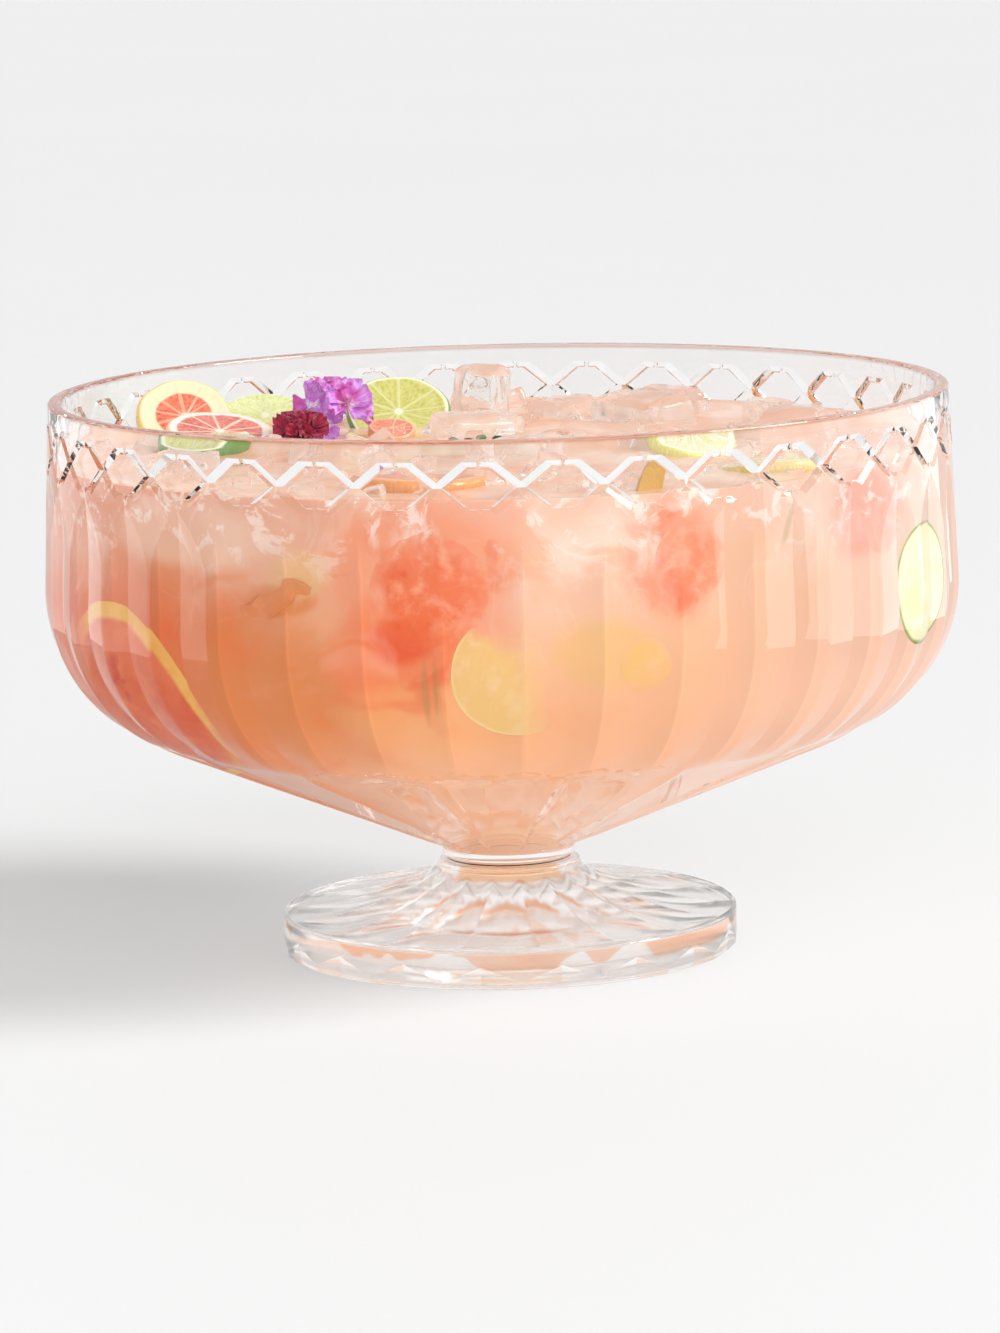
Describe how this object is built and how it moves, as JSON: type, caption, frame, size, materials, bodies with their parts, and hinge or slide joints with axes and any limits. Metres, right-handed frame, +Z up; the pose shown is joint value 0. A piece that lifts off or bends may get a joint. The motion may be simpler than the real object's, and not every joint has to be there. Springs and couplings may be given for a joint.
{
  "type": "footed punch bowl",
  "caption": "Clear fluted glass punch bowl on a round foot, with a diamond-cut band under the rim, filled with iced peach-pink punch, citrus slices, flowers and herbs.",
  "frame": {"origin": "centre of the foot's underside, on the table", "axes": "+Z up along the bowl's axis; -Y faces the viewer of the picture, +X to their right"},
  "size_m": [0.336, 0.336, 0.208],
  "materials": {
    "clear_glass": "polished",
    "foot_glass": "polished",
    "clear_cement": "polished",
    "peach_punch": "gloss",
    "grapefruit": "gloss",
    "lime": "gloss",
    "lemon": "gloss",
    "orange": "gloss",
    "ice": "polished",
    "violet_petals": "satin",
    "crimson_petals": "satin",
    "herb": "satin"
  },
  "bodies": {
    "bowl": {"bowl": "clear_glass", "foot": "foot_glass", "bond_film": "clear_cement"},
    "contents": {"flower_crimson": "crimson_petals", "grapefruit_slice_far": "grapefruit", "grapefruit_slice_flat": "grapefruit", "grapefruit_slice_front": "grapefruit", "grapefruit_slice_left": "grapefruit", "grapefruit_slice_near": "grapefruit", "grapefruit_slice_right": "grapefruit", "grapefruit_wedge_right": "grapefruit", "herb_sprig_back": "herb", "herb_sprig_front": "herb", "herb_sprig_right": "herb", "ice_back": "ice", "ice_back_right": "ice", "ice_centre_right": "ice", "ice_far_right": "ice", "ice_middle": "ice", "ice_near": "ice", "ice_near_left": "ice", "ice_side_left": "ice", "ice_side_right": "ice", "lemon_slice_far_left": "lemon", "lemon_slice_far_right": "lemon", "lemon_slice_front": "lemon", "lemon_slice_left": "lemon", "lemon_slice_low": "lemon", "lemon_slice_right": "lemon", "lime_slice_behind": "lime", "lime_slice_far": "lime", "lime_slice_near": "lime", "lime_slice_right": "lime", "orange_peel_twist": "orange", "orange_peel_upright": "orange", "orange_slice_far": "orange", "orange_slice_small": "orange", "punch": "peach_punch"},
    "lime_slice_standing": {"lime_slice_standing": "lime"},
    "grapefruit_slice_standing": {"grapefruit_slice_standing": "grapefruit"},
    "lime_slice_flat": {"lime_slice_flat": "lime"},
    "flower_violet": {"flower_violet": "violet_petals"},
    "ice_tall": {"ice_tall": "ice"},
    "ice_right": {"ice_right": "ice"}
  },
  "joints": [
    {"name": "contents_lift", "type": "slide", "parent": "bowl", "child": "contents", "axis": [0, 0, 1], "range_m": [0, 0.18]},
    {"name": "lime_slice_standing_lift", "type": "slide", "parent": "contents", "child": "lime_slice_standing", "axis": [0, 0, 1], "range_m": [0, 0.06]},
    {"name": "grapefruit_slice_standing_lift", "type": "slide", "parent": "contents", "child": "grapefruit_slice_standing", "axis": [0, 0, 1], "range_m": [0, 0.06]},
    {"name": "lime_slice_flat_lift", "type": "slide", "parent": "contents", "child": "lime_slice_flat", "axis": [0, 0, 1], "range_m": [0, 0.06]},
    {"name": "flower_violet_lift", "type": "slide", "parent": "contents", "child": "flower_violet", "axis": [0, 0, 1], "range_m": [0, 0.06]},
    {"name": "ice_tall_lift", "type": "slide", "parent": "contents", "child": "ice_tall", "axis": [0, 0, 1], "range_m": [0, 0.06]},
    {"name": "ice_right_lift", "type": "slide", "parent": "contents", "child": "ice_right", "axis": [0, 0, 1], "range_m": [0, 0.06]}
  ]
}
